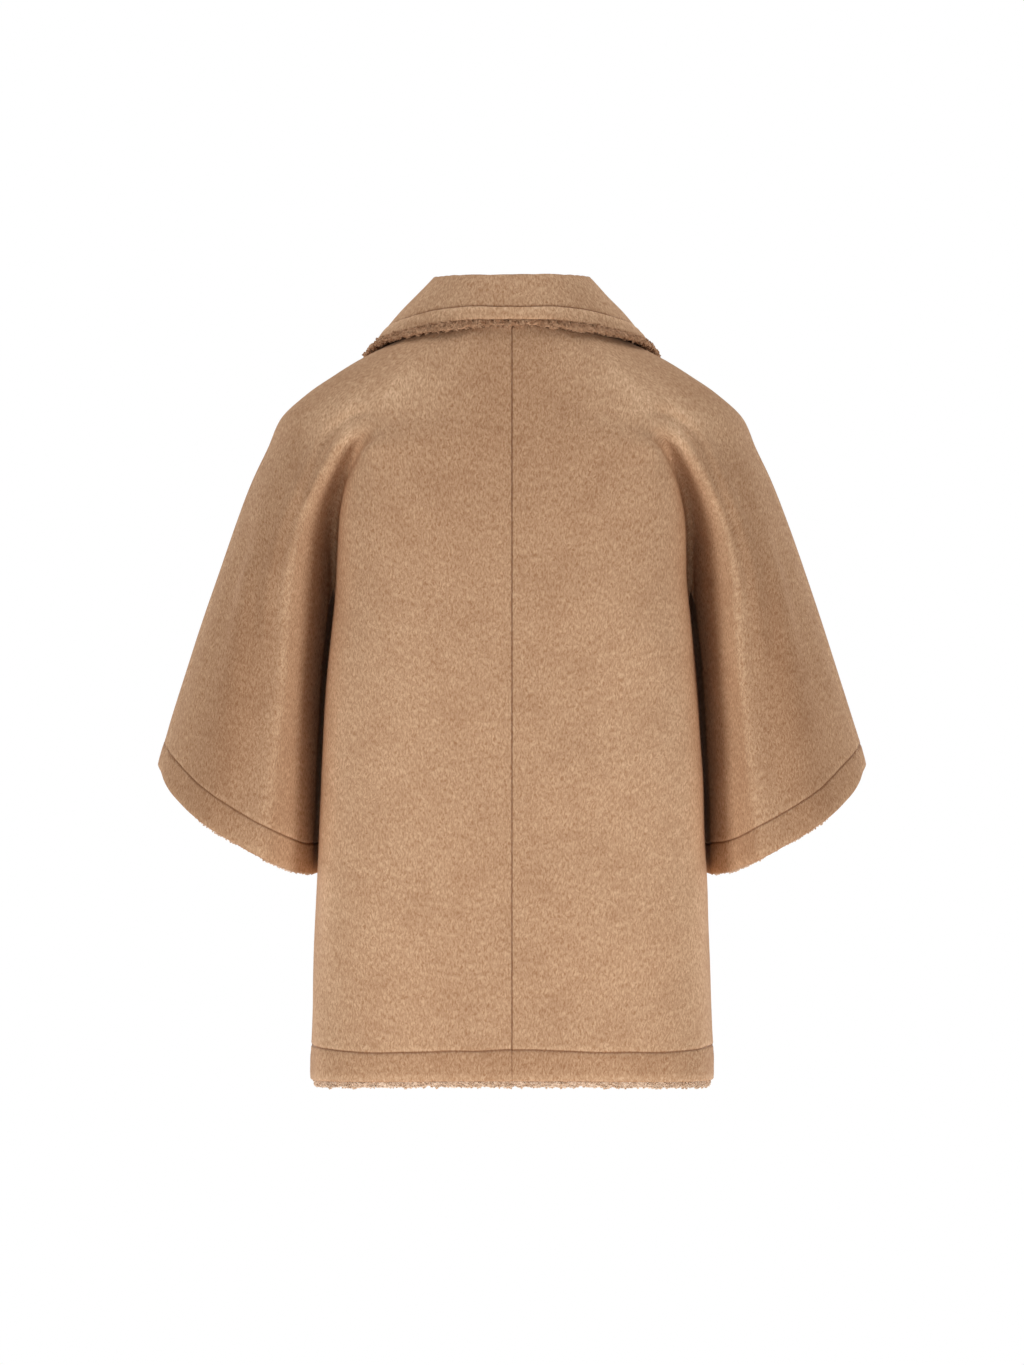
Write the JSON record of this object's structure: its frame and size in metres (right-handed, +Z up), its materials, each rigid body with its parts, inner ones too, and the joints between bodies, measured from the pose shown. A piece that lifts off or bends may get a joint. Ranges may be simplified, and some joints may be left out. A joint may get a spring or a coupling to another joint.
{
  "type": "wool cape",
  "caption": "Short camel wool cape jacket with half sleeves cut in one, a turned-down collar, a buttoned front and fleece showing at its edges, hollow as worn.",
  "frame": {"origin": "midway between the two side-neck points, where the wearer's shoulders hold the cape", "axes": "+Z up, +Y toward the buttoned front, +X toward the wearer's right arm"},
  "size_m": [0.6582, 0.2523, 0.7485],
  "materials": {
    "camel_wool": "brushed, heathered wool cloth",
    "teddy_fleece": "short curly fleece",
    "horn_brown": "polished horn-like buttons"
  },
  "bodies": {
    "root": {"back_right": "camel_wool", "back_left": "camel_wool", "front_right": "camel_wool", "front_left": "camel_wool", "collar": "camel_wool", "collar_fleece": "teddy_fleece", "hem_fleece": "teddy_fleece", "cuff_fleece_right": "teddy_fleece", "cuff_fleece_left": "teddy_fleece", "button_1": "horn_brown", "button_2": "horn_brown", "button_3": "horn_brown", "button_4": "horn_brown"}
  },
  "joints": []
}
